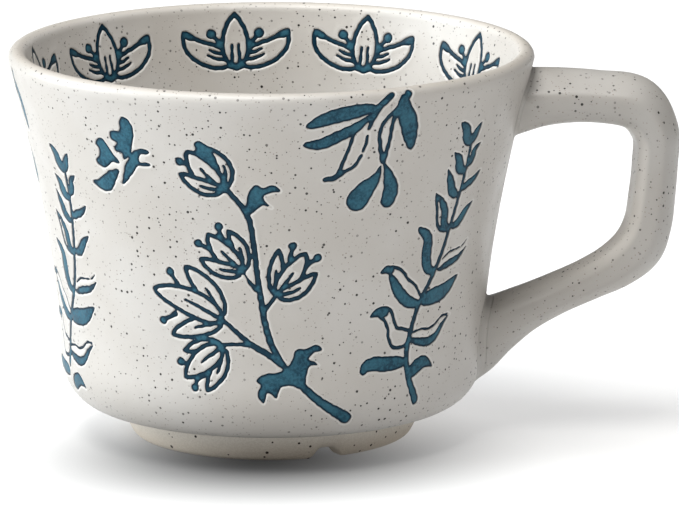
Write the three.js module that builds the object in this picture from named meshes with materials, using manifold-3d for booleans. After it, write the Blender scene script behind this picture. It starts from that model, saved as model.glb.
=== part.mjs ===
// Wide stoneware mug on a trimmed foot ring, with a pulled strap handle and slip inlays:
// three repeats of a botanical pattern round the outside and ten lotus flowers inside the rim.
// Millimetres, +Z up, handle towards +X. The origin is under the middle of the bounding box.
import * as THREE from 'three';
import { TessellateModifier } from 'three/addons/modifiers/TessellateModifier.js';
import { mergeVertices } from 'three/addons/utils/BufferGeometryUtils.js';
import Module from 'manifold-3d';

// ---- driving dimensions ------------------------------------------------------------------
const RIM_RADIUS = 55;
const HEIGHT = 82;
const WALL = 3.8;
const WAIST_RADIUS = 44.5;      // outside, where the bottom curve ends and the flare starts
const WAIST_HEIGHT = 20;
const FLARE_POWER = 1.5;
const LIP = WALL / 2;           // radius of the rounded rim
const LIP_HEIGHT = HEIGHT - LIP;
const BASE_RADIUS = 33.6;       // where the body curves in to the foot
const OUTSIDE_FULLNESS = 2.6;   // superellipse powers of the bottom curve: 2 is an ellipse
const INSIDE_FULLNESS = 2;
const FLOOR_TOP = 11.5;
const FLOOR_RADIUS = 29;        // flat part of the inside floor
const FLOOR_CURVE_TOP = 22;

const FOOT_HEIGHT = 6.5;
const FOOT_BOTTOM_RADIUS = 29;
const FOOT_TOP_RADIUS = 31.4;
const FOOT_INNER_RADIUS = 24.6;
const FOOT_EDGE = 0.6;          // softened bottom edges
const FOOT_BELLY = 0.7;         // how far the middle of its side stands out from its bottom edge
const NOTCH_RADIUS = 3.0;       // drain notches across the foot ring
const NOTCH_HEIGHT = 2.4;
const NOTCH_ANGLES = [23, 143, 263];

const HANDLE_REACH = 85.4;      // from the cup's axis
const GAP = 0.3;                // clearance that every cut or bedded piece keeps
const SLIP = 0.8;               // thickness of the slip that joins the handle to the wall
const SLIP_SPREAD = 1.06;       // width of that slip as a share of the strap's width
const SLIP_SPLIT = 50;          // height between the upper and the lower slip

const INLAY_THICKNESS = 0.4;
const INSIDE_CHORD = 0.1;       // how far the facets of the inside wall stand in from its curve
const SHEET_RADIUS = 48;        // the pattern is drawn on a sheet rolled at this radius
const LONGEST_EDGE = 7.5;       // flat pattern edges are split to this before they are rolled

const TURNS = 60;
const CUP_X = (RIM_RADIUS - HANDLE_REACH) / 2;

// ---- solids ------------------------------------------------------------------------------
const wasm = await Module();
wasm.setup();

function toSolid(geometry) {
  const bare = geometry.clone();
  bare.deleteAttribute('normal');
  bare.deleteAttribute('uv');
  const merged = mergeVertices(bare, 1e-4);
  return new wasm.Manifold(new wasm.Mesh({
    numProp: 3,
    vertProperties: new Float32Array(merged.attributes.position.array),
    triVerts: new Uint32Array(merged.index.array),
  }));
}

function toGeometry(solid) {
  const mesh = solid.getMesh();
  const geometry = new THREE.BufferGeometry();
  geometry.setAttribute('position', new THREE.BufferAttribute(mesh.vertProperties, 3));
  geometry.setIndex(new THREE.BufferAttribute(mesh.triVerts, 1));
  geometry.computeVertexNormals();
  return geometry;
}

function unite(geometries) {
  return geometries.map(toSolid).reduce((whole, next) => whole.add(next));
}

// A closed outline of [radius, height] points turned about the Z axis.
function turned(outline) {
  const points = outline.map(([radius, height]) => new THREE.Vector2(radius, height));
  return new THREE.LatheGeometry(points, TURNS).rotateX(Math.PI / 2);
}

// ---- the cup's surfaces ------------------------------------------------------------------
function bottomCurve(height, [flatRadius, wideRadius], [low, high], fullness) {
  const drop = Math.min(1, (high - height) / (high - low));
  return flatRadius + (wideRadius - flatRadius) * (1 - drop ** fullness) ** (1 / fullness);
}

function outerRadius(height) {
  if (height < WAIST_HEIGHT) {
    return bottomCurve(height, [BASE_RADIUS, WAIST_RADIUS], [FOOT_HEIGHT, WAIST_HEIGHT], OUTSIDE_FULLNESS);
  }
  const share = (height - WAIST_HEIGHT) / (LIP_HEIGHT - WAIST_HEIGHT);
  return WAIST_RADIUS + (RIM_RADIUS - WAIST_RADIUS) * share ** FLARE_POWER;
}

function innerRadius(height) {
  if (height < FLOOR_CURVE_TOP) {
    const wide = outerRadius(FLOOR_CURVE_TOP) - WALL;
    return bottomCurve(height, [FLOOR_RADIUS, wide], [FLOOR_TOP, FLOOR_CURVE_TOP], INSIDE_FULLNESS);
  }
  return outerRadius(height) - WALL;
}

function steps(from, to, count) {
  return Array.from({ length: count + 1 }, (_, i) => from + (to - from) * i / count);
}

// Heights that bunch up towards the flat bottom, for a curve that turns through a quarter.
function curveHeights(low, high, count) {
  return steps(Math.PI / 2, 0, count).map((angle) => high - (high - low) * Math.sin(angle));
}

const OUTSIDE_HEIGHTS = [
  ...curveHeights(FOOT_HEIGHT, WAIST_HEIGHT, 4),
  ...steps(WAIST_HEIGHT, LIP_HEIGHT, 5).slice(1),
];
const INSIDE_HEIGHTS = [
  ...steps(LIP_HEIGHT, FLOOR_CURVE_TOP, 4),
  ...curveHeights(FLOOR_TOP, FLOOR_CURVE_TOP, 3).reverse().slice(1),
];

function cupOutline() {
  const overLip = steps(0, Math.PI, 4).slice(1, -1).map((angle) => [
    RIM_RADIUS - LIP + LIP * Math.cos(angle),
    LIP_HEIGHT + LIP * Math.sin(angle),
  ]);
  return [
    [0, FOOT_HEIGHT],
    ...OUTSIDE_HEIGHTS.map((height) => [outerRadius(height), height]),
    ...overLip,
    ...INSIDE_HEIGHTS.map((height) => [innerRadius(height), height]),
    [0, FLOOR_TOP],
  ];
}

// The outside of the cup as one solid, grown by a distance: it trims the handle.
function cupFilled(grow) {
  const wall = OUTSIDE_HEIGHTS.map((height) => [outerRadius(height) + grow, height]);
  const top = HEIGHT + grow;
  return toSolid(turned([[0, FOOT_HEIGHT], ...wall, [RIM_RADIUS + grow, top], [0, top]]));
}

// ---- the foot ring -----------------------------------------------------------------------
function footRing() {
  const ring = toSolid(turned([
    [FOOT_INNER_RADIUS, FOOT_HEIGHT],
    [FOOT_INNER_RADIUS, FOOT_EDGE],
    [FOOT_INNER_RADIUS + FOOT_EDGE, 0],
    [FOOT_BOTTOM_RADIUS - FOOT_EDGE, 0],
    [FOOT_BOTTOM_RADIUS, FOOT_EDGE],
    [FOOT_BOTTOM_RADIUS + FOOT_BELLY, FOOT_HEIGHT / 2],
    [FOOT_TOP_RADIUS, FOOT_HEIGHT],
    [FOOT_INNER_RADIUS, FOOT_HEIGHT],
  ]));
  const length = 2 * (FOOT_TOP_RADIUS - FOOT_INNER_RADIUS);
  const middle = (FOOT_TOP_RADIUS + FOOT_INNER_RADIUS) / 2;
  const notches = NOTCH_ANGLES.map((degrees) => new THREE.CylinderGeometry(
    NOTCH_RADIUS, NOTCH_RADIUS, length, 20)
    .translate(0, -middle, NOTCH_HEIGHT - NOTCH_RADIUS)
    .rotateZ(THREE.MathUtils.degToRad(degrees)));
  return ring.subtract(unite(notches));
}

// ---- the handle --------------------------------------------------------------------------
// Stations down the strap: centre [x, z], thickness, and width across.
const HANDLE_STATIONS = [
  { at: [48.5, 70.4], thick: 13.6, wide: 21.5 },
  { at: [57.5, 71.9], thick: 10.9, wide: 19.0 },
  { at: [68.0, 71.9], thick: 9.6, wide: 18.0 },
  { at: [76.7, 70.1], thick: 10.4, wide: 17.5 },
  { at: [80.5, 63.8], thick: 9.6, wide: 16.8 },
  { at: [80.6, 57.0], thick: 9.3, wide: 16.0 },
  { at: [79.9, 50.0], thick: 9.5, wide: 15.6 },
  { at: [78.4, 43.0], thick: 9.8, wide: 15.2 },
  { at: [74.3, 36.7], thick: 9.3, wide: 15.0 },
  { at: [67.0, 32.6], thick: 8.6, wide: 14.8 },
  { at: [59.5, 29.1], thick: 8.6, wide: 15.0 },
  { at: [52.8, 25.8], thick: 9.8, wide: 16.2 },
  { at: [47.4, 22.6], thick: 12.2, wide: 17.8 },
  { at: [42.4, 19.8], thick: 16.0, wide: 19.6 },
];
const STRAP_STEPS = 28;
const STRAP_SIDES = 14;
const OUTER_ROUNDNESS = 2.6;    // superellipse powers of the strap's outer and inner faces
const INNER_ROUNDNESS = 4.5;

function strap() {
  const path = new THREE.CatmullRomCurve3(
    HANDLE_STATIONS.map(({ at: [x, z] }) => new THREE.Vector3(x, 0, z)), false, 'centripetal');
  const sizes = new THREE.CatmullRomCurve3(
    HANDLE_STATIONS.map(({ thick, wide }) => new THREE.Vector3(thick / 2, wide / 2, 0)));
  const positions = [];
  for (const t of steps(0, 1, STRAP_STEPS)) {
    const centre = path.getPoint(t);
    const along = path.getTangent(t);
    const outward = new THREE.Vector3(-along.z, 0, along.x);
    const size = sizes.getPoint(t);
    for (let side = 0; side < STRAP_SIDES; side += 1) {
      const angle = 2 * Math.PI * side / STRAP_SIDES;
      const power = 2 / (Math.sin(angle) > 0 ? OUTER_ROUNDNESS : INNER_ROUNDNESS);
      const across = size.y * Math.sign(Math.cos(angle)) * Math.abs(Math.cos(angle)) ** power;
      const out = size.x * Math.sign(Math.sin(angle)) * Math.abs(Math.sin(angle)) ** power;
      positions.push(centre.x + outward.x * out, across, centre.z + outward.z * out);
    }
  }
  return closedTube(positions, STRAP_SIDES, STRAP_STEPS);
}

function closedTube(positions, sides, rings) {
  const index = [];
  for (let ring = 0; ring < rings; ring += 1) {
    for (let side = 0; side < sides; side += 1) {
      const a = ring * sides + side;
      const b = ring * sides + (side + 1) % sides;
      index.push(a, b, b + sides, a, b + sides, a + sides);
    }
  }
  for (let side = 1; side < sides - 1; side += 1) {
    index.push(0, side + 1, side);
    index.push(rings * sides, rings * sides + side, rings * sides + side + 1);
  }
  const geometry = new THREE.BufferGeometry();
  geometry.setAttribute('position', new THREE.Float32BufferAttribute(positions, 3));
  geometry.setIndex(index);
  return geometry;
}

function widenedStrap(share) {
  return toSolid(strap().scale(1, share, 1));
}

// The part of a shell between two heights on the handle's side of the cup.
function slipJoint(shell, low, high) {
  const reach = HANDLE_REACH;
  const window = new THREE.BoxGeometry(reach, reach, high - low).translate(reach / 2, 0, (low + high) / 2);
  return shell.intersect(toSolid(window));
}

// ---- the pattern, drawn flat -------------------------------------------------------------
// Sheet coordinates are [along, up]: millimetres round the wall to the right, and height.
function smoothLine(points, count) {
  const curve = new THREE.SplineCurve(points.map(([x, y]) => new THREE.Vector2(x, y)));
  return curve.getSpacedPoints(count);
}

function sideways(line, i) {
  const before = line[Math.max(0, i - 1)];
  const after = line[Math.min(line.length - 1, i + 1)];
  const along = after.clone().sub(before).normalize();
  return new THREE.Vector2(-along.y, along.x);
}

// An outline round a line whose half-width at each share of its length is given.
function ribbon(line, halfWidth) {
  const edge = (side) => line.map((point, i) => (
    point.clone().addScaledVector(sideways(line, i), side * halfWidth(i / (line.length - 1)))));
  return new THREE.Shape([...edge(1), ...edge(-1).reverse()]);
}

// A leaf from its foot to its tip: widest in the middle, with a blunt foot and a narrow tip.
function leaf(points, width) {
  return ribbon(smoothLine(points, 3), (t) => 0.5 * width * Math.sin(Math.PI * (0.12 + 0.82 * t)));
}

function stem(points, startWidth, endWidth) {
  return ribbon(smoothLine(points, points.length - 1), (t) => (
    0.5 * (startWidth + (endWidth - startWidth) * t)));
}

// A flower head: three petals fanned about a direction.
function head([x, y], length, width, direction) {
  const reach = (degrees, distance) => {
    const angle = THREE.MathUtils.degToRad(direction + degrees);
    return [x + distance * Math.cos(angle), y + distance * Math.sin(angle)];
  };
  const petal = (turn, share) => leaf(
    [[x, y], reach(turn * 1.25, length * 0.5), reach(turn, length * share)], width);
  return [petal(-36, 0.92), petal(0, 1), petal(36, 0.92)];
}

const FERN_TOP = [
  stem([[32.4, 19.4], [32.4, 26], [35, 35], [38.6, 41], [41.6, 50], [43.5, 60], [43.6, 68]], 1.8, 1.0),
  leaf([[31.8, 22.6], [26, 22.8], [20.6, 21.4]], 3.6),
  leaf([[33, 19.4], [36.6, 21.2], [39.8, 20.6]], 3.2),
  leaf([[32.6, 27.2], [28.4, 28.4], [26, 32.6], [22.4, 33.4]], 4.8),
  leaf([[33, 27.4], [38.6, 27.2], [45, 30.6]], 3.8),
  leaf([[34.6, 34.8], [30, 38], [27, 42], [24, 43]], 4.6),
  leaf([[35.4, 35.6], [41, 36.2], [46.6, 38.6]], 4.4),
  leaf([[38, 40.8], [34.6, 44.6], [32.6, 50.6]], 3.6),
  leaf([[38.6, 40.6], [43.6, 42.8], [48.4, 45]], 2.0),
  leaf([[40.8, 49.4], [38.2, 52], [36, 57.2]], 3.8),
  leaf([[42, 50.4], [45, 51.6], [48, 54]], 2.2),
  leaf([[42.8, 56.8], [40, 58.4], [38.4, 62.4]], 2.6),
  leaf([[43, 57.6], [46, 58.8], [48.8, 61]], 1.9),
  leaf([[43.6, 61.6], [41.4, 63.2], [39.6, 66]], 2.6),
  leaf([[43.6, 62.2], [45, 64.2], [46.8, 66.8]], 2.0),
  leaf([[43.6, 67], [41.8, 69.4], [39.8, 72.4]], 2.6),
  leaf([[43.6, 67.4], [44.4, 69.4], [45.8, 71.2]], 2.2),
];
const FERN = [stem([[35.3, 13.6], [32.4, 21]], 2.4, 1.8), ...FERN_TOP];

const SPRIG = [
  stem([[4, 21.6], [0, 28], [-2, 36], [-3.4, 46], [-4.8, 56], [-8.8, 61.8]], 1.6, 1.2),
  stem([[6, 20.4], [11, 15.8], [17, 11.8]], 1.4, 3.0),
  stem([[1.2, 25.4], [-4.4, 28.4], [-10, 33]], 1.3, 1.2),
  stem([[-4, 28.2], [-10.6, 27.8]], 1.1, 0.9),
  stem([[-2, 35.4], [0.8, 38.4]], 1.2, 1.2),
  ...head([-8.6, 62], 10.6, 4.6, 130),
  ...head([-5.8, 43.6], 11, 4.6, 128),
  ...head([0.6, 38.4], 11.4, 4.8, 62),
  ...head([-9.8, 33], 16, 6.4, 162),
  ...head([-10.4, 28], 12.2, 5, 224),
  leaf([[-4.8, 56], [-3.6, 60.4], [1.2, 61.8]], 3.8),
  leaf([[6.6, 19.6], [6, 25], [11, 27.2]], 4.2),
  leaf([[6.6, 20.6], [1, 21.4], [-3.2, 19.6]], 4.2),
  leaf([[4, 21.4], [-1.4, 18.6], [-2.2, 16]], 3.6),
];

const BRANCH = [
  stem([[22.8, 79], [20.6, 77.8], [17.6, 75.2], [15.4, 73.2]], 1.9, 1.0),
  stem([[24.6, 79], [22.8, 76], [21.4, 70], [21.8, 65]], 1.8, 1.2),
  leaf([[20, 78.4], [13, 78.2], [6.8, 75.6]], 3.8),
  leaf([[16.8, 74.4], [11, 72.6], [6, 71.2]], 3.0),
  leaf([[17.2, 75], [15.6, 69], [10.4, 63.8]], 4.2),
  leaf([[21.4, 65.2], [18.8, 61.2], [16, 57.2]], 5.0),
  leaf([[21.8, 65.4], [24, 61], [23.6, 56.8]], 4.0),
  leaf([[24.8, 78], [26.2, 74.4], [27.9, 69]], 3.8),
];

const BUTTERFLY_WING = [
  leaf([[-30, 66.2], [-29.4, 71], [-28.4, 75.4]], 4.8),
  leaf([[-29.6, 67.4], [-31, 70], [-32, 71.8]], 2.8),
  leaf([[-30.9, 61.4], [-28.4, 65], [-26.6, 68]], 3.2),
  stem([[-27, 68], [-24.4, 68.6]], 1.0, 0.9),
  stem([[-27, 66.2], [-24.4, 66]], 1.0, 0.9),
];
const BUTTERFLY_HIND = [leaf([[-31.6, 65.4], [-34.2, 66.6], [-35.4, 69.6]], 3.6)];
const BUTTERFLY_TAIL = [leaf([[-31.8, 63.4], [-35, 61], [-38.6, 60.2]], 3.8)];

const LOTUS_BASE = 69.4;
const LOTUS = [
  leaf([[0, LOTUS_BASE], [0, 74.4], [0, 79.2]], 6),
  leaf([[0, LOTUS_BASE], [6, 71.2], [10.4, 75.4]], 5),
  leaf([[0, LOTUS_BASE], [-6, 71.2], [-10.4, 75.4]], 5),
  stem([[2.8, 72.4], [5.4, 75.8]], 1.2, 1.9),
  stem([[-2.8, 72.4], [-5.4, 75.8]], 1.2, 1.9),
];
const LOTUS_ANGLES = [-79, -45, -9, 24, 60, 97, 133, 170, 207, 244];

// ---- rolling the pattern on to the wall --------------------------------------------------
const tessellate = new TessellateModifier(LONGEST_EDGE, 8);

// place says, for a point of the sheet and a height above the surface, where that is on the cup.
function rolled(drawing, place) {
  const plates = drawing.map((shape) => new THREE.ExtrudeGeometry(
    shape, { depth: INLAY_THICKNESS, bevelEnabled: false }));
  const plate = tessellate.modify(toGeometry(unite(plates)).toNonIndexed());
  const position = plate.attributes.position;
  for (let i = 0; i < position.count; i += 1) {
    const proud = GAP + position.getZ(i);
    position.setXYZ(i, ...place(position.getX(i), position.getY(i), proud));
  }
  return toSolid(plate);
}

const outsideAt = (along, up) => (x, y, proud) => {
  const angle = (x + along) / SHEET_RADIUS;
  const radius = outerRadius(y + up) + proud;
  return [radius * Math.sin(angle), -radius * Math.cos(angle), y + up];
};

const insideAt = (degrees) => (x, y, proud) => {
  const angle = THREE.MathUtils.degToRad(degrees) + x / SHEET_RADIUS;
  const radius = innerRadius(y) - INSIDE_CHORD - proud;
  return [radius * Math.sin(angle), radius * Math.cos(angle), y];
};

const REPEAT = -92;             // from one repeat of the pattern to the next, along the sheet
const FERN_DROP = -6.7;         // the second fern sits lower, with its foot cut short
const INLAYS = [
  { name: 'sprig_inlay_1', drawing: SPRIG, place: outsideAt(0, 0) },
  { name: 'sprig_inlay_2', drawing: SPRIG, place: outsideAt(REPEAT, 0) },
  { name: 'sprig_inlay_3', drawing: SPRIG, place: outsideAt(2 * REPEAT, 0) },
  { name: 'fern_inlay_1', drawing: FERN, place: outsideAt(0, 0) },
  { name: 'fern_inlay_2', drawing: FERN_TOP, place: outsideAt(REPEAT, FERN_DROP) },
  { name: 'fern_inlay_3', drawing: FERN, place: outsideAt(2 * REPEAT, 0) },
  { name: 'branch_inlay_1', drawing: BRANCH, place: outsideAt(0, 0) },
  { name: 'branch_inlay_2', drawing: BRANCH, place: outsideAt(REPEAT, -2) },
  { name: 'branch_inlay_3', drawing: BRANCH, place: outsideAt(2 * REPEAT, 0) },
  { name: 'butterfly_body_inlay_1', drawing: BUTTERFLY_WING, place: outsideAt(0, 0) },
  { name: 'butterfly_wing_inlay_1', drawing: BUTTERFLY_HIND, place: outsideAt(0, 0) },
  { name: 'butterfly_tail_inlay_1', drawing: BUTTERFLY_TAIL, place: outsideAt(0, 0) },
  { name: 'butterfly_body_inlay_2', drawing: BUTTERFLY_WING, place: outsideAt(REPEAT, -3) },
  { name: 'butterfly_wing_inlay_2', drawing: BUTTERFLY_HIND, place: outsideAt(REPEAT, -3) },
  { name: 'butterfly_tail_inlay_2', drawing: BUTTERFLY_TAIL, place: outsideAt(REPEAT, -3) },
  ...LOTUS_ANGLES.map((degrees, i) => (
    { name: `lotus_inlay_${i + 1}`, drawing: LOTUS, place: insideAt(degrees) })),
];

// ---- materials ---------------------------------------------------------------------------
const glaze = () => new THREE.MeshStandardMaterial({ color: 0xd6d0c8, roughness: 0.45 });
const bareClay = () => new THREE.MeshStandardMaterial({ color: 0xb7a68f, roughness: 0.85 });
const blueSlip = () => new THREE.MeshStandardMaterial({ color: 0x2f607a, roughness: 0.5 });

// ---- the mug -----------------------------------------------------------------------------
const mug = new THREE.Group();
const onAxis = new THREE.Group();
onAxis.position.x = CUP_X;
mug.add(onAxis);

function addPiece(name, solid, material) {
  const mesh = new THREE.Mesh(toGeometry(solid), material);
  mesh.name = name;
  onAxis.add(mesh);
}

addPiece('cup_body', toSolid(turned(cupOutline())), glaze());
addPiece('foot_ring', footRing(), bareClay());

const slipFrom = GAP;
const slipTo = GAP + SLIP;
addPiece('handle', widenedStrap(1).subtract(cupFilled(slipTo + GAP)), glaze());
const slipShell = widenedStrap(SLIP_SPREAD).intersect(cupFilled(slipTo)).subtract(cupFilled(slipFrom));
addPiece('handle_upper_slip', slipJoint(slipShell, SLIP_SPLIT, HEIGHT), glaze());
addPiece('handle_lower_slip', slipJoint(slipShell, 0, SLIP_SPLIT), glaze());

for (const { name, drawing, place } of INLAYS) {
  addPiece(name, rolled(drawing, place), blueSlip());
}

export default mug;
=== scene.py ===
"""A wide stoneware mug with blue sprigs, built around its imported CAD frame.

Lengths are in millimetres. They become metres where a mesh, a light or the camera is made.
The pattern is drawn on a flat sheet: s runs round the cup, from the front towards the handle, and
v runs up the outside of the wall, over the lip and down the inside.
"""

import math

import bmesh
import bpy
import numpy as np
from mathutils import Matrix, Vector
from mathutils.geometry import delaunay_2d_cdt
from mathutils.kdtree import KDTree


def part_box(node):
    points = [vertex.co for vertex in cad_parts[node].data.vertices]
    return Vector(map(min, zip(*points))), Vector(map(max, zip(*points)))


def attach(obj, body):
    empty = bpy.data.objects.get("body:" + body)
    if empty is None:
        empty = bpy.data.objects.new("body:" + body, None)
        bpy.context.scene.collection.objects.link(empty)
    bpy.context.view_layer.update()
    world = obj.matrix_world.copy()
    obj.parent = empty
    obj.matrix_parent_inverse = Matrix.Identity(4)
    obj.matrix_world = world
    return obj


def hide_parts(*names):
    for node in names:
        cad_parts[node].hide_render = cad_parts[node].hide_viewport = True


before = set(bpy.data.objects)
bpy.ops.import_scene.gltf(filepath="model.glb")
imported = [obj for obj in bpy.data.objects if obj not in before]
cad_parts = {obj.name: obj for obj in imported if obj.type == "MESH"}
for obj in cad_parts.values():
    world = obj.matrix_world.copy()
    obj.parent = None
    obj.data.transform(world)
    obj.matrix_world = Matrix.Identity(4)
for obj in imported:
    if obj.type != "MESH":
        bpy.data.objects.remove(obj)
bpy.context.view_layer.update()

MM = 0.001


# ---- sizes

def box_mm(node):
    """Lowest and highest corner of a CAD node, in millimetres."""
    return [np.array(corner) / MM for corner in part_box(node)]


CUP_LOW, CUP_HIGH = box_mm("cup_body")
FOOT_LOW, FOOT_HIGH = box_mm("foot_ring")

AXIS_X = (CUP_LOW[0] + CUP_HIGH[0]) / 2
RIM_RADIUS = (CUP_HIGH[1] - CUP_LOW[1]) / 2
HEIGHT = CUP_HIGH[2]
BASE_Z = CUP_LOW[2]
FOOT_TOP_RADIUS = (FOOT_HIGH[1] - FOOT_LOW[1]) / 2

WALL = 3.8
LIP = WALL / 2
LIP_Z = HEIGHT - LIP
WAIST_RADIUS = 44.5
WAIST_Z = 20.0
FLARE_POWER = 1.5
BASE_RADIUS = 33.6
FULLNESS = 2.6  # superellipse power of the curve under the waist
FLOOR_Z = 11.5
FLOOR_RADIUS = 29.0
FLOOR_CURVE_Z = 22.0

FOOT_BOTTOM_RADIUS = 29.0
FOOT_INNER_RADIUS = 24.6
NOTCH_TOP_HALF_WIDTH = 1.2
NOTCH_SLOPE = 2.7
NOTCH_DEPTH = 2.2
NOTCH_ANGLES = (23, 143, 263)

SHEET_RADIUS = 48.0
SEAM_ANGLE = math.radians(101.5)  # beside the handle, between two of the flowers inside
SEAM = SHEET_RADIUS * SEAM_ANGLE
TURN = SHEET_RADIUS * math.tau
COLUMNS = 200
LIP_LENGTH = math.pi * LIP
TOP_OF_INSIDE = LIP_Z + LIP_LENGTH
SHEET_END = TOP_OF_INSIDE + LIP_Z - FLOOR_CURVE_Z
SLOPE_STEP = 0.05  # how far to either side the slope of the wall is measured


def around(r, angle, z):
    """Points at a distance from the cup's axis, an angle from the front to the handle, and a height."""
    return np.stack(np.broadcast_arrays(AXIS_X + r * np.sin(angle), -r * np.cos(angle), z), -1)


def outer_radius(z):
    """Radius of the outside of the cup at a height."""
    flare = ((np.maximum(z, WAIST_Z) - WAIST_Z) / (LIP_Z - WAIST_Z)) ** FLARE_POWER
    drop = np.clip((WAIST_Z - z) / (WAIST_Z - BASE_Z), 0, 1)
    curve = (WAIST_RADIUS - BASE_RADIUS) * ((1 - drop ** FULLNESS) ** (1 / FULLNESS) - 1)
    return WAIST_RADIUS + curve + (RIM_RADIUS - WAIST_RADIUS) * flare


def wall_point(v):
    """Radius and height of the wall's surface at a place v on the sheet."""
    over = np.clip((v - LIP_Z) / LIP, 0, math.pi)
    below = np.minimum(v, LIP_Z)
    z = np.where(v < TOP_OF_INSIDE, below, LIP_Z + TOP_OF_INSIDE - v)
    return outer_radius(z) - LIP * (1 - np.cos(over)), z + LIP * np.sin(over)


def on_wall(s, v, lift):
    """Points in space for places on the sheet, raised by lift from the wall's surface."""
    r, z = wall_point(v)
    r_before, z_before = wall_point(np.maximum(v - SLOPE_STEP, BASE_Z))
    r_after, z_after = wall_point(v + SLOPE_STEP)
    length = np.hypot(r_after - r_before, z_after - z_before)
    r = r + lift * (z_after - z_before) / length
    z = z - lift * (r_after - r_before) / length
    return around(r, s / SHEET_RADIUS, z)


# ---- smooth lines and outlines

SPAN_SAMPLES = 24  # points of a smooth line between two of its given points, before it is respaced
LEAST_WIDTH = 0.05  # of a stroke at a pointed end


def unit(vectors):
    return vectors / np.linalg.norm(vectors, axis=1)[:, None]


def lengths_along(line):
    """How far along a line each of its points lies."""
    return np.concatenate([[0], np.cumsum(np.linalg.norm(np.diff(line, axis=0), axis=1))])


def between(t, low, high, first, second):
    """First where t is low, second where it is high, and in proportion elsewhere."""
    return (high - t) / (high - low) * first + (t - low) / (high - low) * second


def smooth(points, spacing=0.35, closed=False):
    """An evenly spaced centripetal Catmull-Rom line through points of any number of columns."""
    points = np.array(points, float)
    if closed:
        points = np.concatenate([points[-1:], points, points[:2]])
    else:
        points = np.concatenate([2 * points[:1] - points[1:2], points, 2 * points[-1:] - points[-2:-1]])
    gaps = np.linalg.norm(np.diff(points[:, :2], axis=0), axis=1)
    knots = np.concatenate([[0], np.cumsum(np.sqrt(np.maximum(gaps, 1e-6)))])
    pieces = []
    for i in range(1, len(points) - 2):
        t = np.linspace(knots[i], knots[i + 1], SPAN_SAMPLES, endpoint=False)[:, None]
        k = knots[i - 1:i + 3]
        p = points[i - 1:i + 3]
        lines = [between(t, k[j], k[j + 1], p[j], p[j + 1]) for j in range(3)]
        curves = [between(t, k[j], k[j + 2], lines[j], lines[j + 1]) for j in range(2)]
        pieces.append(between(t, k[1], k[2], *curves))
    pieces.append(points[-2:-1])
    return respaced(np.concatenate(pieces), spacing)


def respaced(line, spacing, least=4):
    """The same line with points at equal distances."""
    lengths = lengths_along(line[:, :2])
    count = max(least, int(round(lengths[-1] / spacing)) + 1)
    at = np.linspace(0, lengths[-1], count)
    return np.stack([np.interp(at, lengths, column) for column in line.T], 1)


def band(points, width_at):
    """Closed outline of a stroke along a smooth line. width_at takes shares of the way along it."""
    line = smooth(points)
    share = np.linspace(0, 1, len(line))
    radius = np.maximum(width_at(share), LEAST_WIDTH)[:, None] / 2
    along = unit(np.gradient(line, axis=0))
    left = np.stack([-along[:, 1], along[:, 0]], 1)
    turn = np.linspace(0, math.pi, 8)[1:-1, None]
    end = line[-1] + radius[-1] * (np.cos(turn) * left[-1] + np.sin(turn) * along[-1])
    start = line[0] - radius[0] * (np.cos(turn) * left[0] + np.sin(turn) * along[0])
    return np.concatenate([line + radius * left, end, (line - radius * left)[::-1], start])


def signed_distance(points, outline):
    """Distance from points to a closed outline, below zero inside it."""
    p = points.reshape(-1, 1, 2)
    a = outline
    edge = np.roll(outline, -1, 0) - a
    along = np.clip(((p - a) * edge).sum(-1) / np.maximum((edge ** 2).sum(-1), 1e-9), 0, 1)
    distance = np.sqrt((((p - a) - along[..., None] * edge) ** 2).sum(-1).min(1))
    upward = edge[:, 1] > 0
    crosses = (a[:, 1] > p[..., 1]) != (a[:, 1] + edge[:, 1] > p[..., 1])
    slope = edge[:, 0] / np.where(edge[:, 1] == 0, 1, edge[:, 1])
    to_the_left = p[..., 0] < a[:, 0] + slope * (p[..., 1] - a[:, 1])
    winding = (crosses & to_the_left & upward).sum(1) - (crosses & to_the_left & ~upward).sum(1)
    return np.where(winding != 0, -distance, distance).reshape(points.shape[:-1])


# ---- blue shapes on the flat sheet

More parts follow.
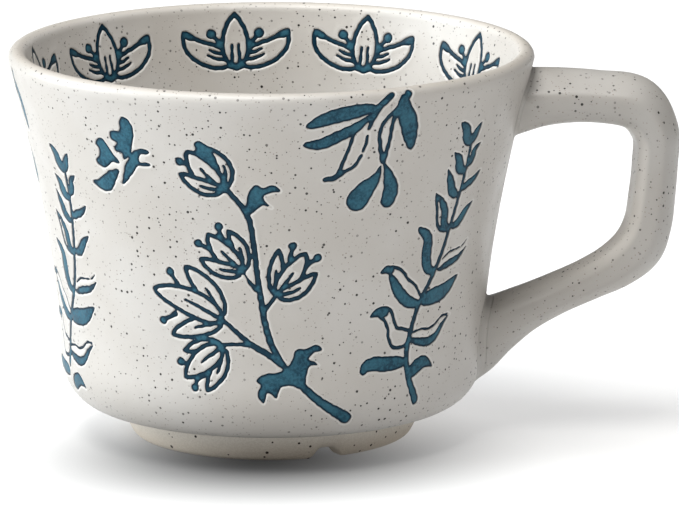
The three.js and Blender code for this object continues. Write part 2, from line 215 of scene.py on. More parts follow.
class Drawing:
    """Blue shapes held as distances to their edge on a grid: below zero in the blue, above zero outside."""

    STEP = 0.2  # between the grid's points
    REACH = 2.4  # how far round an outline its distances are worked out
    FAR = 3.0  # the value where no blue is near
    SETTLED = 2.5  # below this value the distances are made true
    EDGE_SPACING = 0.05

    def __init__(self, low, high):
        self.low = np.array(low, float)
        axes = [np.arange(a, b + self.STEP / 2, self.STEP) for a, b in zip(low, high)]
        self.grid = np.stack(np.meshgrid(*axes, indexing="ij"), -1)
        self.field = np.full(self.grid.shape[:2], self.FAR)

    def near(self, outline):
        """The part of the grid around an outline, and the distances to the outline there."""
        low = ((outline.min(0) - self.REACH - self.low) / self.STEP).astype(int).clip(0)
        high = ((outline.max(0) + self.REACH - self.low) / self.STEP).astype(int).clip(1) + 1
        part = np.s_[low[0]:high[0], low[1]:high[1]]
        return part, signed_distance(self.grid[part], outline)

    def paint(self, outline):
        """Fills an outline with blue."""
        part, distance = self.near(outline)
        self.field[part] = np.minimum(self.field[part], distance)

    def ring(self, outline, line):
        """Paints a line of that width just inside the outline, and clears what it encloses."""
        part, distance = self.near(outline)
        cleared = np.maximum(self.field[part], -distance - line / 2)
        self.field[part] = np.minimum(cleared, np.maximum(distance, -distance - line))

    def roughen(self):
        """Moves the edges in and out a little, as a hand-cut line wanders."""
        s, v = np.moveaxis(self.grid, -1, 0)
        self.field += ROUGHNESS * sum(np.sin(a * s + b * v + phase) for a, b, phase in WAVES)

    def settle(self):
        """Replaces the field near the blue by true distances to its edge."""
        edge = np.concatenate([respaced(loop, self.EDGE_SPACING) for loop in self.loops(0)])
        tree = KDTree(len(edge))
        for i, (s, v) in enumerate(edge):
            tree.insert((s, v, 0), i)
        tree.balance()
        for i, j in np.argwhere(self.field < self.SETTLED):
            s, v = self.grid[i, j]
            self.field[i, j] = math.copysign(tree.find((s, v, 0))[2], self.field[i, j])

    def loops(self, level):
        """Closed lines along which the field has that value, with the blue on their left."""
        inside = self.field < level
        corners = np.stack([inside[:-1, :-1], inside[1:, :-1], inside[1:, 1:], inside[:-1, 1:]], -1)
        mixed = np.argwhere(corners.any(-1) & ~corners.all(-1))
        following = {}
        for i, j in mixed.tolist():
            sides = ((i, j, 0), (i + 1, j, 1), (i, j + 1, 0), (i, j, 1))
            here = corners[i, j]
            for k in range(4):
                if here[k] and not here[(k + 1) % 4]:
                    back = next(b for b in (k - 1, k - 2, k - 3) if not here[b] and here[(b + 1) % 4])
                    following[sides[k]] = sides[back]
        found = []
        while following:
            start, side = following.popitem()
            loop = [start]
            while side != start:
                loop.append(side)
                side = following.pop(side)
            found.append(self.crossings(np.array(loop + [start]), level))
        return found

    def crossings(self, sides, level):
        """Where the field takes a value on grid sides given as (column, row, 0 across or 1 up)."""
        i, j, up = sides.T
        first = self.field[i, j]
        second = self.field[i + 1 - up, j + up]
        share = ((level - first) / (second - first))[:, None]
        return self.grid[i, j] * (1 - share) + self.grid[i + 1 - up, j + up] * share

    def distance(self, places):
        """The field at any places, by linear interpolation."""
        spot = (places - self.low) / self.STEP
        cell = np.floor(spot).astype(int)
        within = ((cell >= 0) & (cell < np.array(self.field.shape) - 1)).all(-1)
        i, j = cell[within].T
        x, y = (spot[within] - cell[within]).T
        values = np.full(len(places), self.FAR)
        lower = self.field[i, j] * (1 - x) + self.field[i + 1, j] * x
        upper = self.field[i, j + 1] * (1 - x) + self.field[i + 1, j + 1] * x
        values[within] = lower * (1 - y) + upper * y
        return values


ROUGHNESS = 0.035  # how far each wave moves a painted edge
WAVES = ((2.3, 3.1, 0), (4.1, -1.7, 1), (-0.9, 3.3, 2))  # turns along s, along v, and a start
LINE = 0.95  # width of the painted lines round petals
CIRCLE_POINTS = 20


def stem(drawing, points, *widths):
    """A stroke with round ends, through points, whose width changes from one value to the next."""
    drawing.paint(band(points, lambda share: np.interp(share, np.linspace(0, 1, len(widths)), widths)))


def leaf_width(width, root, tip):
    """Width along a leaf. A low root or tip power makes that end blunt, and a high one makes it slender."""
    peak = root / (root + tip)
    most = peak ** root * (1 - peak) ** tip
    return lambda share: width * share ** root * (1 - share) ** tip / most


def leaf(drawing, points, width, root=0.55, tip=0.85):
    """A solid leaf along a line from its root to its tip."""
    drawing.paint(band(points, leaf_width(width, root, tip)))


def greenery(drawing, stems, leaves):
    """Paints stems, given as points and widths, and leaves, given as points, width, root and tip."""
    for points, *widths in stems:
        stem(drawing, points, *widths)
    for points, *shape in leaves:
        leaf(drawing, points, *shape)


def petal(drawing, points, width, root=0.42, tip=0.62):
    """A petal drawn as a line round bare glaze."""
    drawing.ring(band(points, leaf_width(width, root, tip)), LINE)


def vein(drawing, points, reach=0.58):
    """A tapering line up the middle of a petal from its root."""
    spine = smooth(points, 0.6)
    stem(drawing, spine[:int(len(spine) * reach)], 1.0, 0.9, 0.6)


def knob(drawing, root, end, radius):
    """A stamen: a short stem with a round end."""
    stem(drawing, [root, end], 1.3, 0.9, 1.1)
    turn = np.linspace(0, math.tau, CIRCLE_POINTS, endpoint=False)[:, None]
    drawing.paint(np.array(end) + radius * np.concatenate([np.cos(turn), np.sin(turn)], 1))


def sprig():
    """A flowering stem with five open heads."""
    drawing = Drawing((-29.4, 8), (21, 74))
    greenery(drawing, [
        ([(3, 23), (0, 28), (-1.5, 33), (-2.3, 38), (-3, 43), (-3.7, 50), (-4.8, 56), (-9, 62)],
         1.3, 1.5, 1.4, 1.2, 1.2, 1.2, 1.1),
        ([(5.5, 20.4), (10.5, 16), (17.2, 11.7)], 1.6, 2.0, 2.7),
        ([(2.2, 23.8), (-1, 26.2), (-4.5, 28.2), (-10.3, 33)], 1.3, 1.4, 1.1, 0.9),
        ([(-4.5, 28.1), (-7.5, 28.2), (-10.8, 27.9)], 1.1, 0.8, 0.9),
        ([(-1.6, 35.3), (-0.4, 37), (0.9, 38.7)], 1.0, 0.9, 0.9),
        ([(-3.2, 40), (-4.4, 41.3), (-5.6, 43.3)], 1.2, 0.8, 0.3),
    ], [
        ([(-9.6, 61.8), (-11.4, 66.6), (-13.9, 71.7)], 6.2),
        ([(-6.4, 44.6), (-9.2, 49), (-11.2, 52)], 3.4),
        ([(-11.4, 27.2), (-14.6, 23.4), (-17.6, 19.4)], 3.6),
    ])
    high_bract = [(-5.3, 55.2), (-4.9, 59), (-4.2, 61.5), (-3, 62.7), (-1.7, 62.1), (0.3, 62.7),
                  (1.8, 61.3), (-0.3, 60.9), (-1.6, 60), (-1, 58.8), (0.2, 57.7), (-1.6, 58.2), (-3, 57.3)]
    low_bract = [(2.6, 22.8), (4.4, 24.8), (5.2, 27), (7.4, 27.2), (10, 28), (11.2, 26.8), (9.5, 26.4),
                 (8.1, 25), (9.2, 24.5), (10.6, 23.4), (8.7, 23.6), (7.9, 22.3), (7.4, 20), (6.2, 18.7),
                 (4.4, 19.4), (2, 19), (1, 16.7), (0, 17.6), (-1, 18), (-1.8, 15.7), (-3, 16.8),
                 (-3.1, 18.4), (-2.4, 19.5), (-3.5, 20.5), (-1.5, 22), (1, 22.2)]
    for outline in (high_bract, low_bract):
        drawing.paint(smooth(outline, closed=True))
    heads = [
        # petals from back to front as (points along the middle, width), then stamens as (root, end)
        ([([(-9.2, 61.4), (-8.9, 66), (-11.7, 70.6)], 3.6),
          ([(-9.6, 61.6), (-13, 65), (-16.3, 69.7)], 5.6),
          ([(-9.2, 61.3), (-13.5, 61.9), (-18.2, 64.6)], 3.9)],
         [((-15, 66), (-17.7, 67.1)), ((-14, 69), (-13.6, 70.9))]),
        ([([(-5.9, 43.8), (-6.4, 48.6), (-9, 53)], 3.9),
          ([(-6.2, 44), (-10, 47.8), (-13.3, 52)], 5.2),
          ([(-6, 43.7), (-10.5, 44.2), (-15.3, 46.4)], 4.0)],
         [((-12.5, 48.4), (-15.2, 49.6)), ((-10.3, 51), (-10.7, 53.5))]),
        ([([(0.8, 38.7), (0.9, 43.6), (1.5, 49)], 3.9),
          ([(1, 38.9), (4.2, 43.2), (7.3, 48.1)], 5.2),
          ([(0.9, 38.7), (5.2, 39.8), (9.6, 43.6)], 4.1)],
         [((3.8, 46.6), (4.3, 49.4)), ((7, 45), (9.5, 46.7))]),
        ([([(-10.7, 33.6), (-13.6, 39.2), (-18.7, 44.7)], 5.4),
          ([(-10.6, 32.9), (-16, 31.6), (-22.9, 29.4)], 4.9),
          ([(-10.7, 33.3), (-18, 36.8), (-26.7, 39)], 6.4)],
         [((-20, 39.6), (-22, 43)), ((-21.4, 34), (-24.5, 32.3))]),
        ([([(-10.7, 27.8), (-15.2, 27.6), (-20.2, 26.1)], 3.5),
          ([(-10.8, 27.6), (-11.8, 22.8), (-14.8, 17.7)], 4.4),
          ([(-10.9, 27.6), (-15.4, 24.3), (-20, 20.4)], 5.8)],
         [((-18.6, 23), (-20.7, 23.8)), ((-16.8, 21), (-17.4, 18.5))]),
    ]
    for petals, stamens in heads:
        for root, end in stamens:
            knob(drawing, root, end, 0.95)
        for points, width in petals:
            petal(drawing, points, width)
            vein(drawing, points)
    return drawing


def fern(with_foot):
    """A tall stem with pairs of drooping leaves, some solid and some in outline."""
    drawing = Drawing((17.6, 10.6), (51, 75))
    stalk = [(32.1, 24), (33, 29), (34.8, 34.5), (38, 40), (40.2, 45), (41.5, 50), (43, 57),
             (43.7, 63), (43.7, 69)]
    widths = [1.5, 1.3, 1.2, 1.1, 1.0, 0.9]
    if with_foot:
        stalk = [(35.4, 13.6), (33, 18.5)] + stalk
        widths = [2.0] + widths
    greenery(drawing, [
        (stalk, *widths),
        ([(32.3, 26.2), (30, 25.6), (28.2, 26), (27, 27.8), (26.6, 30), (25.6, 32), (24.4, 32.9)],
         0.8, 0.8),
        ([(33, 28.9), (30.5, 29.6), (29, 30), (28, 32), (27, 34), (25.4, 34.7)], 0.8, 0.8),
        ([(33.2, 28.3), (36, 28.8), (38.5, 28.6), (40.5, 29.3), (42.5, 30.6), (44.6, 30.7)], 0.5, 0.6),
        ([(35, 36), (33.2, 38.6), (31, 40.2), (29.4, 42), (27, 43.3), (25, 43.3)], 0.6, 0.8),
        ([(40.6, 43.2), (42.5, 44.3), (45.5, 44.7), (47.3, 45.1), (48.6, 46.1)], 0.5, 0.4),
        ([(41.2, 49.2), (38.4, 49.9), (37.3, 51.5), (36.8, 54), (35.9, 57.4)], 0.9, 0.8),
    ], [
        ([(31.8, 22.4), (27, 22.5), (23, 22.8), (21.2, 22.2), (20.8, 20.6)], 3.3, 0.3, 0.35),
        ([(32.8, 18.9), (35.3, 21), (37.6, 21.6), (40.4, 20.2)], 3.2),
        ([(34.9, 34.7), (38.5, 35.4), (42, 36), (47.2, 38.9)], 3.9),
        ([(38.6, 40.4), (36.2, 42), (35.4, 45), (35.2, 48.4), (32.1, 51.2)], 2.9, 0.4, 0.5),
        ([(41.6, 49.7), (44.2, 50.6), (46, 52.6), (48.5, 54.5)], 2.2),
        ([(42.7, 56.4), (40.6, 57.6), (39.6, 59.6), (38, 63)], 2.4),
        ([(42.9, 57.4), (45.2, 58.6), (47, 59.3), (49.3, 61.2)], 1.9),
        ([(43.6, 61.4), (41.6, 62.6), (40.8, 64.6), (39, 66.4)], 2.6),
        ([(43.6, 62.4), (45, 64), (45.4, 65.8), (47.2, 67.3)], 2.0),
        ([(43.9, 67.2), (42.2, 69), (41.2, 71.2), (39.2, 72.8)], 2.7),
        ([(43.6, 67.4), (44.6, 69.3), (45.2, 70.6), (46.2, 71.9)], 2.1),
        ([(26.8, 33.7), (24, 33.9), (21.8, 32.9)], 2.4, 0.4),
        ([(32.4, 27), (35.5, 26.2), (38.5, 25.8), (41, 26.7), (42.7, 28.6), (45.4, 30.6)], 2.0),
        ([(35, 34.3), (31.5, 35.3), (29, 37.5), (27.3, 40), (26, 42)], 2.8, 0.4, 0.5),
        ([(27.2, 42.5), (25, 42.9), (23.5, 42.2)], 1.9, 0.4),
        ([(39.3, 40.9), (43, 41.9), (46.3, 42.8), (48.9, 44.6)], 1.7),
        ([(41.2, 49.6), (39.5, 51), (39.2, 53.5), (37.7, 56), (35.6, 58.1)], 2.3, 0.4),
    ])
    return drawing


def hanging_branch():
    """A branch that hangs from the rim, with leaves and two drops."""
    drawing = Drawing((3.6, 53.8), (31, 83))
    greenery(drawing, [
        ([(22.2, 81), (20.5, 79.4), (18.6, 77.9)], 1.3, 1.5, 1.4),
        ([(20, 78.7), (19, 76.6), (18.2, 74)], 1.4, 1.2, 0.7),
        ([(18, 72.6), (17.9, 71), (17.4, 69.2)], 0.6, 0.7, 0.6),
        ([(17.2, 68.4), (16, 66.3), (13.8, 64.8)], 0.7, 0.8, 0.7),
        ([(15.4, 74), (14.7, 70.5), (13.6, 67), (13, 65)], 0.8, 0.7, 0.9),
        ([(13.8, 65), (11.9, 63.8), (10.2, 63.6)], 1.1, 1.3, 1.0),
        ([(25.6, 81), (24.6, 79.4), (23.4, 77.3)], 1.6, 1.7, 1.5),
        ([(23.6, 77.8), (21.2, 75.4), (20.5, 73), (20.9, 69.8), (21.7, 66.6)], 1.0, 0.8, 1.0),
        ([(23.4, 77.5), (22.9, 74.5), (22.6, 70.5), (21.9, 66.6)], 1.0, 0.8, 1.0),
    ], [
        ([(19.5, 78.6), (15, 77.9), (11, 77), (6.2, 75)], 3.3, 0.45, 0.5),
        ([(19, 77.4), (15.5, 74.4), (12, 72.6), (9, 71.3), (5.8, 71.2)], 2.6, 0.6, 0.4),
        ([(21.6, 66.6), (20.6, 63.2), (18.3, 60.4), (15.9, 56.7)], 4.7, 1.3, 0.42),
        ([(21.9, 66.6), (23.4, 63.3), (24.2, 60.2), (23.4, 56.5)], 3.5, 1.0, 0.4),
        ([(24.3, 81), (25, 77.7), (26.4, 74.4), (27.7, 68.5)], 3.8, 0.6, 0.6),
    ])
    knob(drawing, (23.6, 58.6), (22.9, 57.8), 0.75)
    return drawing


def butterfly():
    """A butterfly in flight, as four solid outlines that overlap."""
    drawing = Drawing((-42, 56), (-21, 78.6))
    wing = [(-29.8, 66.2), (-30.3, 67.6), (-31.5, 67.7), (-31.8, 68.7), (-31, 69.7), (-32.3, 70.4),
            (-32.3, 71.8), (-31.2, 72.4), (-30, 72.3), (-29.6, 74.5), (-28.8, 75.7), (-27.6, 75.2),
            (-26.8, 73.6), (-26.8, 71.7), (-27.5, 69.5), (-28.1, 67.6)]
    body = [(-31.2, 60.8), (-30.6, 63), (-29.8, 65.2), (-28.5, 67), (-27, 68.7), (-24.6, 69.1),
            (-23.8, 68.5), (-24.7, 67.9), (-26, 67.8), (-26.2, 66.1), (-24.7, 66.2), (-23.8, 65.8),
            (-24.5, 65.3), (-26.7, 65.2), (-28.2, 63.5), (-29.6, 61.8)]
    hind_wing = [(-35.8, 70), (-34.5, 70.3), (-33.6, 69.2), (-32.5, 67.5), (-30.9, 65.3), (-33, 65.2),
                 (-34.2, 64.2), (-35.3, 63.8), (-36.9, 64.4), (-37.1, 65.4), (-36, 66.4), (-35.8, 67.6),
                 (-36.4, 68.8)]
    tail = [(-39.3, 60.3), (-37.5, 61), (-35.5, 62.4), (-34, 63.4), (-31.4, 63.9), (-32.1, 62.2),
            (-33.3, 60.2), (-34.4, 58.9), (-36, 58.6), (-37.6, 59.1)]
    for outline in (wing, body, hind_wing, tail):
        drawing.paint(smooth(outline, closed=True))
    return drawing


def lotus():
    """An open flower in outline, drawn about s = 0 at its height on the wall."""
    drawing = Drawing((-14, 65), (14, 83))
    for side in (-1, 1):
        def mirrored(points):
            return [(side * s, z) for s, z in points]
        knob(drawing, *mirrored([(2.9, 73.4), (5.0, 75.8)]), 1.1)
        petal(drawing, mirrored([(0.4, 70), (5.2, 71.2), (8.8, 73.1), (11.2, 76.8)]), 5.6)
        stem(drawing, mirrored([(8.6, 74.9), (10.3, 75.5), (10.9, 76.4)]), 0.7, 1.3, 0.7)
        stem(drawing, mirrored([(2.6, 71.6), (4, 71.8), (5.6, 72.5)]), 0.9, 0.8, 0.55)
        stem(drawing, mirrored([(2.2, 70.3), (4.2, 70.6), (6, 71.4)]), 0.8, 0.8, 0.55)
    petal(drawing, [(0, 68.6), (0, 74), (0, 80.4)], 6.4, root=0.5, tip=0.78)
    for s in (-0.85, 0.85):
        stem(drawing, [(s, 69.4), (0.8 * s, 73.4)], 0.9, 0.65)
    stem(drawing, [(-2, 69), (0, 68.5), (2, 69)], 0.8, 1.2, 0.8)
    return drawing


# ---- where the shapes go

REPEAT = -92.0  # from one copy of the pattern to the next along the sheet
SECOND_V = {"sprig": 0.0, "fern": -6.7, "branch": -2.0, "butterfly": -3.0}  # shifts of the second copy
LOTUS_ANGLES = (-79, -45, -9, 24, 60, 97, 133, 170, 207, 244)  # degrees from the back to the handle


class Place:
    """A drawing at its place on the sheet: moved by s and v, and turned half round where way is -1."""

    def __init__(self, name, drawing, cad_nodes, s, v=0.0, way=1):
        self.name = name
        self.drawing = drawing
        self.cad_nodes = cad_nodes
        self.origin = np.array([s, v])
        self.way = way

    def to_sheet(self, points):
        return self.origin + self.way * points

    def distance(self, places):
        return self.drawing.distance(self.way * (places - self.origin))


def on_sheet(s):
    """The same place round the cup, within the one turn of the sheet that ends at its seam."""
    return (s - SEAM) % -TURN + SEAM


def finished(drawing):
    drawing.roughen()
    drawing.settle()
    return drawing


def all_places():
    """Every drawing on the mug, with the CAD nodes that it replaces. There is no third butterfly."""
    sprigs, branches = finished(sprig()), finished(hanging_branch())
    butterflies, flowers = finished(butterfly()), finished(lotus())
    long_fern, short_fern = finished(fern(with_foot=True)), finished(fern(with_foot=False))
    places = []
    for copy in (1, 2, 3):
        second = copy == 2
        s = (copy - 1) * REPEAT
        ferns = short_fern if second else long_fern
        for name, drawing in (("sprig", sprigs), ("fern", ferns), ("branch", branches)):
            v = SECOND_V[name] * second
            places.append(Place(f"{name}_{copy}", drawing, [f"{name}_inlay_{copy}"], s, v))
        if copy < 3:
            nodes = [f"butterfly_{part}_inlay_{copy}" for part in ("body", "wing", "tail")]
            v = SECOND_V["butterfly"] * second
            places.append(Place(f"butterfly_{copy}", butterflies, nodes, s, v))
    for number, angle in enumerate(LOTUS_ANGLES, 1):
        s = on_sheet(SHEET_RADIUS * math.radians(180 - angle))
        places.append(Place(f"lotus_{number}", flowers, [f"lotus_inlay_{number}"], s,
                            TOP_OF_INSIDE + LIP_Z, way=-1))
    return places


def nearest_blue(places, points):
    """How far points on the sheet are from the nearest blue."""
    return np.min([place.distance(points) for place in places], axis=0, initial=Drawing.FAR)


# ---- meshes

WELD_DISTANCE = 0.002
CDT_EPSILON = 1e-6
WHOLE_SHEET = 0  # what a triangulation gives back: all of it, or what its edges enclose
INSIDE_EDGES = 2


def linked(name, data):
    """A new object in the scene."""
    made = bpy.data.objects.new(name, data)
    bpy.context.scene.collection.objects.link(made)
    return made


def new_piece(name, points, faces, cad_nodes, material, edge=Drawing.FAR, weld=False):
    """A shaded mesh from points in millimetres. edge is their distance from the blue."""
    points = np.reshape(points, (-1, 3))
    mesh = bpy.data.meshes.new(name)
    mesh.from_pydata((points * MM).tolist(), [], faces)
    edges = np.full(len(points), edge, np.float32)
    mesh.attributes.new("edge", "FLOAT", "POINT").data.foreach_set("value", edges)
    if weld:
        shape = bmesh.new()
        shape.from_mesh(mesh)
        bmesh.ops.remove_doubles(shape, verts=shape.verts, dist=WELD_DISTANCE * MM)
        shape.to_mesh(mesh)
        shape.free()
    mesh.shade_smooth()
    mesh.materials.append(material)
    piece = linked(name, mesh)
    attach(piece, "root")
    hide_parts(*cad_nodes)


def grid_faces(rows, columns, closed_rows=False):
    """Quads over a grid of points whose columns run round and close up. Rows close up too when asked."""
    last = rows if closed_rows else rows - 1
    faces = []
    for i in range(last):
        below, above = i * columns, (i + 1) % rows * columns
        for j in range(columns):
            k = (j + 1) % columns
            faces.append((below + j, below + k, above + k, above + j))
    return faces


def lifted(distance, lifts):
    """How high a surface lies at distances from the blue, from lifts given at a few distances."""
    steps = sorted(lifts)
    return np.interp(distance, steps, [lifts[step] for step in steps])


class Cover:
    """Points on the sheet to triangulate, with their distances from the blue and the edges to keep."""

    def __init__(self):
        self.points, self.values, self.edges = [], [], []
        self.count = 0

    def add(self, points, values, keep=False):
        """Adds points. When kept, they make a closed loop of edges."""
        if keep:
            self.edges += [(self.count + i, self.count + (i + 1) % len(points)) for i in range(len(points))]
        self.points.append(points)
        self.values.append(np.full(len(points), values))
        self.count += len(points)

    def triangulated(self, value_at, output):
        """Points, faces and the points' values, which are looked up where points had to be added."""
        given = [Vector(p) for p in np.concatenate(self.points).tolist()]
        made = delaunay_2d_cdt(given, self.edges, [], output, CDT_EPSILON, True)
        flat = np.array([tuple(p) for p in made[0]])
        source = np.array([origin[0] if origin else -1 for origin in made[3]])
        values = np.where(source >= 0, np.concatenate(self.values)[source], value_at(flat))
        return flat, [tuple(face) for face in made[2]], values


WALL_LIFTS = {0.85: 0.0, 0.35: 0.07, 0.04: 0.0, -0.12: -0.42}  # at distances from the blue
WALL_SPACING = 0.42
LEAST_LOOP = 9  # points of the smallest loop, the first of them counted twice
CLEAR_OF_BLUE = 1.2  # where the plain background grid begins
BOTTOM_ROWS, WALL_ROWS, LIP_ROWS, INSIDE_ROWS = 14, 41, 9, 40


def sheet_rows():
    """Places v of the background rows, closer together where the wall curves."""
    bottom = WAIST_Z - (WAIST_Z - BASE_Z) * np.cos(np.linspace(0, math.pi / 2, BOTTOM_ROWS))
    wall = np.linspace(WAIST_Z, LIP_Z, WALL_ROWS)[1:]
    lip = LIP_Z + np.linspace(0, LIP_LENGTH, LIP_ROWS)[1:]
    inside = np.linspace(TOP_OF_INSIDE, SHEET_END, INSIDE_ROWS)[1:]
    return np.concatenate([bottom, wall, lip, inside])


def sheet_cover(places):
    """The whole wall: a plain grid away from the blue, and loops along its edges."""
    columns = np.linspace(SEAM - TURN, SEAM, COLUMNS + 1)
    grid = np.stack(np.meshgrid(columns, sheet_rows(), indexing="ij"), -1).reshape(-1, 2)
    distance = nearest_blue(places, grid)
    clear = distance > CLEAR_OF_BLUE
    cover = Cover()
    cover.add(grid[clear], distance[clear])
    for place in places:
        for level in WALL_LIFTS:
            for loop in place.drawing.loops(level):
                ring = respaced(loop, WALL_SPACING, LEAST_LOOP)[:-1]
                cover.add(place.to_sheet(ring), level, keep=True)
    return cover


CURVE_ROWS = 12  # rings round the curve from the wall inside to the floor
FLAT_RADII = (22, 14, 6)
UNDER_RADII = (12, 24, BASE_RADIUS)
CENTRE = 0.02  # radius of the smallest ring of the floor and the underside


def cup_rings():
    """Rings of points that close the cup below the sheet: its floor, and its underside."""
    angle = np.linspace(SEAM - TURN, SEAM, COLUMNS + 1)[:-1] / SHEET_RADIUS
    down = np.linspace(0, math.pi / 2, CURVE_ROWS)
    inside_radius = outer_radius(FLOOR_CURVE_Z) - WALL
    floor = [(FLOOR_RADIUS + (inside_radius - FLOOR_RADIUS) * math.cos(a),
              FLOOR_CURVE_Z - (FLOOR_CURVE_Z - FLOOR_Z) * math.sin(a)) for a in down]
    floor += [(r, FLOOR_Z) for r in FLAT_RADII + (CENTRE,)]
    underside = [(r, BASE_Z) for r in (CENTRE,) + UNDER_RADII]
    return [np.array([around(r, angle, z) for r, z in profile]) for profile in (floor, underside)]


def cup(places, material):
    """The glazed cup, with the blue's bed pressed into its wall."""
    cover = sheet_cover(places)
    sheet, faces, distance = cover.triangulated(lambda points: nearest_blue(places, points), WHOLE_SHEET)
    points = [on_wall(*sheet.T, lifted(distance, WALL_LIFTS))]
    count = len(sheet)
    for ring in cup_rings():
        faces += [tuple(count + i for i in face) for face in grid_faces(*ring.shape[:2])]
        points.append(ring.reshape(-1, 3))
        count += ring[..., 0].size
    points = np.concatenate(points)
    edge = np.full(len(points), Drawing.FAR)
    edge[:len(distance)] = distance
    new_piece("cup", points, faces, ["cup_body"], material, edge, weld=True)


INLAY_LIFTS = {-0.02: -0.17, -0.3: -0.11, -0.7: -0.05}
INLAY_BOTTOM = -0.5
INLAY_SPACING = 0.4
INLAY_SLACK = 0.06  # how far outside the blue the middle of a triangle on its edge can lie
INLAY_STRIDE = 4  # every fourth point of the drawing's grid is used
INLAY_DEEP = -1.0  # where those points begin


def inlay_surface(drawing):
    """Flat points, triangles and edge distances of a drawing's blue."""
    cover = Cover()
    for level in INLAY_LIFTS:
        for loop in drawing.loops(level):
            ring = respaced(loop, INLAY_SPACING, LEAST_LOOP)[:-1]
            cover.add(ring, level, keep=level == max(INLAY_LIFTS))
    coarse = np.s_[::INLAY_STRIDE, ::INLAY_STRIDE]
    wide = drawing.grid[coarse][drawing.field[coarse] < INLAY_DEEP]
    cover.add(wide, drawing.distance(wide))
    flat, faces, distance = cover.triangulated(drawing.distance, INSIDE_EDGES)
    triangles = np.array(faces)
    blue = drawing.distance(flat[triangles].mean(1)) < INLAY_SLACK
    return flat, [tuple(face) for face in triangles[blue].tolist()], distance


def inlay(place, surface, material):
    """The blue slip of one drawing: a thin closed body that fills its bed."""
    flat, faces, distance = surface
    s, v = place.to_sheet(flat).T
    top = on_wall(s, v, lifted(distance, INLAY_LIFTS))
    bottom = on_wall(s, v, INLAY_BOTTOM)
    count = len(flat)
    borders = {(a, b) for face in faces for a, b in zip(face, face[1:] + face[:1])}
    sides = [(b, a, a + count, b + count) for a, b in borders if (b, a) not in borders]
    under = [tuple(i + count for i in reversed(face)) for face in faces]
    new_piece(place.name, np.concatenate([top, bottom]), faces + under + sides, place.cad_nodes,
              material, np.concatenate([distance, distance]))


# Stations along the handle: distance from the cup's axis, height, thickness and width
HANDLE_STATIONS = [
    (48.5, 70.2, 14.0, 21.5), (57.5, 71.5, 11.8, 19.0), (68.0, 71.4, 10.7, 18.0), (76.6, 69.7, 11.2, 17.5),
    (80.4, 63.8, 10.0, 16.8), (80.4, 57.0, 9.7, 16.0), (79.8, 50.0, 9.9, 15.6), (79.0, 44.2, 10.2, 15.3),
    (77.0, 39.2, 10.8, 15.1), (72.8, 35.4, 9.9, 15.0), (67.0, 32.3, 8.8, 14.8), (59.5, 28.9, 8.7, 15.0),
    (52.8, 25.6, 9.8, 16.2), (47.4, 22.5, 12.2, 17.8), (42.4, 19.8, 16.0, 19.6), (37.4, 17.4, 18.0, 20.5),
]
STATION_SPACING = 0.7
CROWN = 0.36  # share of the handle's thickness that its domed outer face takes
INNER_EDGE = ((0.3, 2.8), (2.2, 0.8))  # how far in from the side and out from the inner face it turns
INNER_BULGE = 0.1
DOME_POINTS = 41
SECTION_SPACING = 0.2
SECTION_POINTS = 241
SECTION_STRIDE = 4  # one in four of the softened section's points is kept
SECTION_SOFTENING = 26  # times the section is averaged with its neighbours
BURIED = 1.6  # how far the handle's ends reach into the wall


def handle_section(thick, wide):
    """Outline across the handle: flat inside and sides, a soft ridge, and a domed outer face."""
    half, crown = wide / 2, CROWN * thick
    share = np.linspace(-1, 1, DOME_POINTS)[:, None]
    dome = np.concatenate([-share * half, thick / 2 - crown * share ** 2], 1)
    right = [(half - inward, outward - thick / 2) for inward, outward in INNER_EDGE]
    left = [(-across, out) for across, out in right]
    inside = [(-half, thick / 2 - crown)] + left + [(0, -thick / 2 - INNER_BULGE)] + right[::-1]
    ring = respaced(np.concatenate([dome, inside, dome[:1]]), SECTION_SPACING, SECTION_POINTS)
    ring = ring[np.linspace(0, len(ring) - 1, SECTION_POINTS).astype(int)][:-1]
    for _ in range(SECTION_SOFTENING):
        ring = (np.roll(ring, 1, 0) + 2 * ring + np.roll(ring, -1, 0)) / 4
    return ring[::SECTION_STRIDE]


def bury(points):
    """Points of the handle that would reach into the bowl, moved back into the wall."""
    x, y, z = np.moveaxis(points, -1, 0)
    radius = np.hypot(x - AXIS_X, y)
    least = outer_radius(z) - BURIED
    grow = np.where(radius < least, least / radius, 1)
    return np.stack([AXIS_X + (x - AXIS_X) * grow, y * grow, z], -1)


def handle_lines():
    """Points of the handle's surface: rows along it, columns round its section."""
    path = smooth(HANDLE_STATIONS, STATION_SPACING)
    along = unit(np.gradient(path[:, :2], axis=0))
    rows = []
    for (x, z, thick, wide), (dx, dz) in zip(path, along):
        across, out = handle_section(thick, wide).T
        rows.append(np.stack([AXIS_X + x - out * dz, across, z + out * dx], -1))
    return np.array(rows)


def handle(material):
    """The strap, with both of its ends closed inside the cup's wall."""
    rows = bury(handle_lines())
    count, columns = rows.shape[:2]
    ends = [row.mean(0) for row in (rows[0], rows[-1])]
    points = np.concatenate([rows.reshape(-1, 3), bury(np.array(ends))])
    faces = grid_faces(count, columns)
    first, last = count * columns, count * columns + 1
    for j in range(columns):
        k = (j + 1) % columns
        faces.append((first, k, j))
        faces.append((last, (count - 1) * columns + j, (count - 1) * columns + k))
    new_piece("strap", points, faces, ["handle"], material)


def joint_ring(lines, size):
    """Along each line of the handle: where it leaves the wall, and a point that far further out."""
    contact, outer = [], []
    for line in np.moveaxis(lines, 1, 0):
        radius = np.hypot(line[:, 0] - AXIS_X, line[:, 1])
        gap = radius - outer_radius(line[:, 2])
        i = int(np.argmax(gap > 0))
        share = gap[i - 1] / (gap[i - 1] - gap[i])
        start = line[i - 1] + share * (line[i] - line[i - 1])
        rest = np.concatenate([[start], line[i:]])
        lengths = lengths_along(rest)
        contact.append(start)
        outer.append([np.interp(size, lengths, column) for column in rest.T])
    return np.array(contact), np.array(outer)


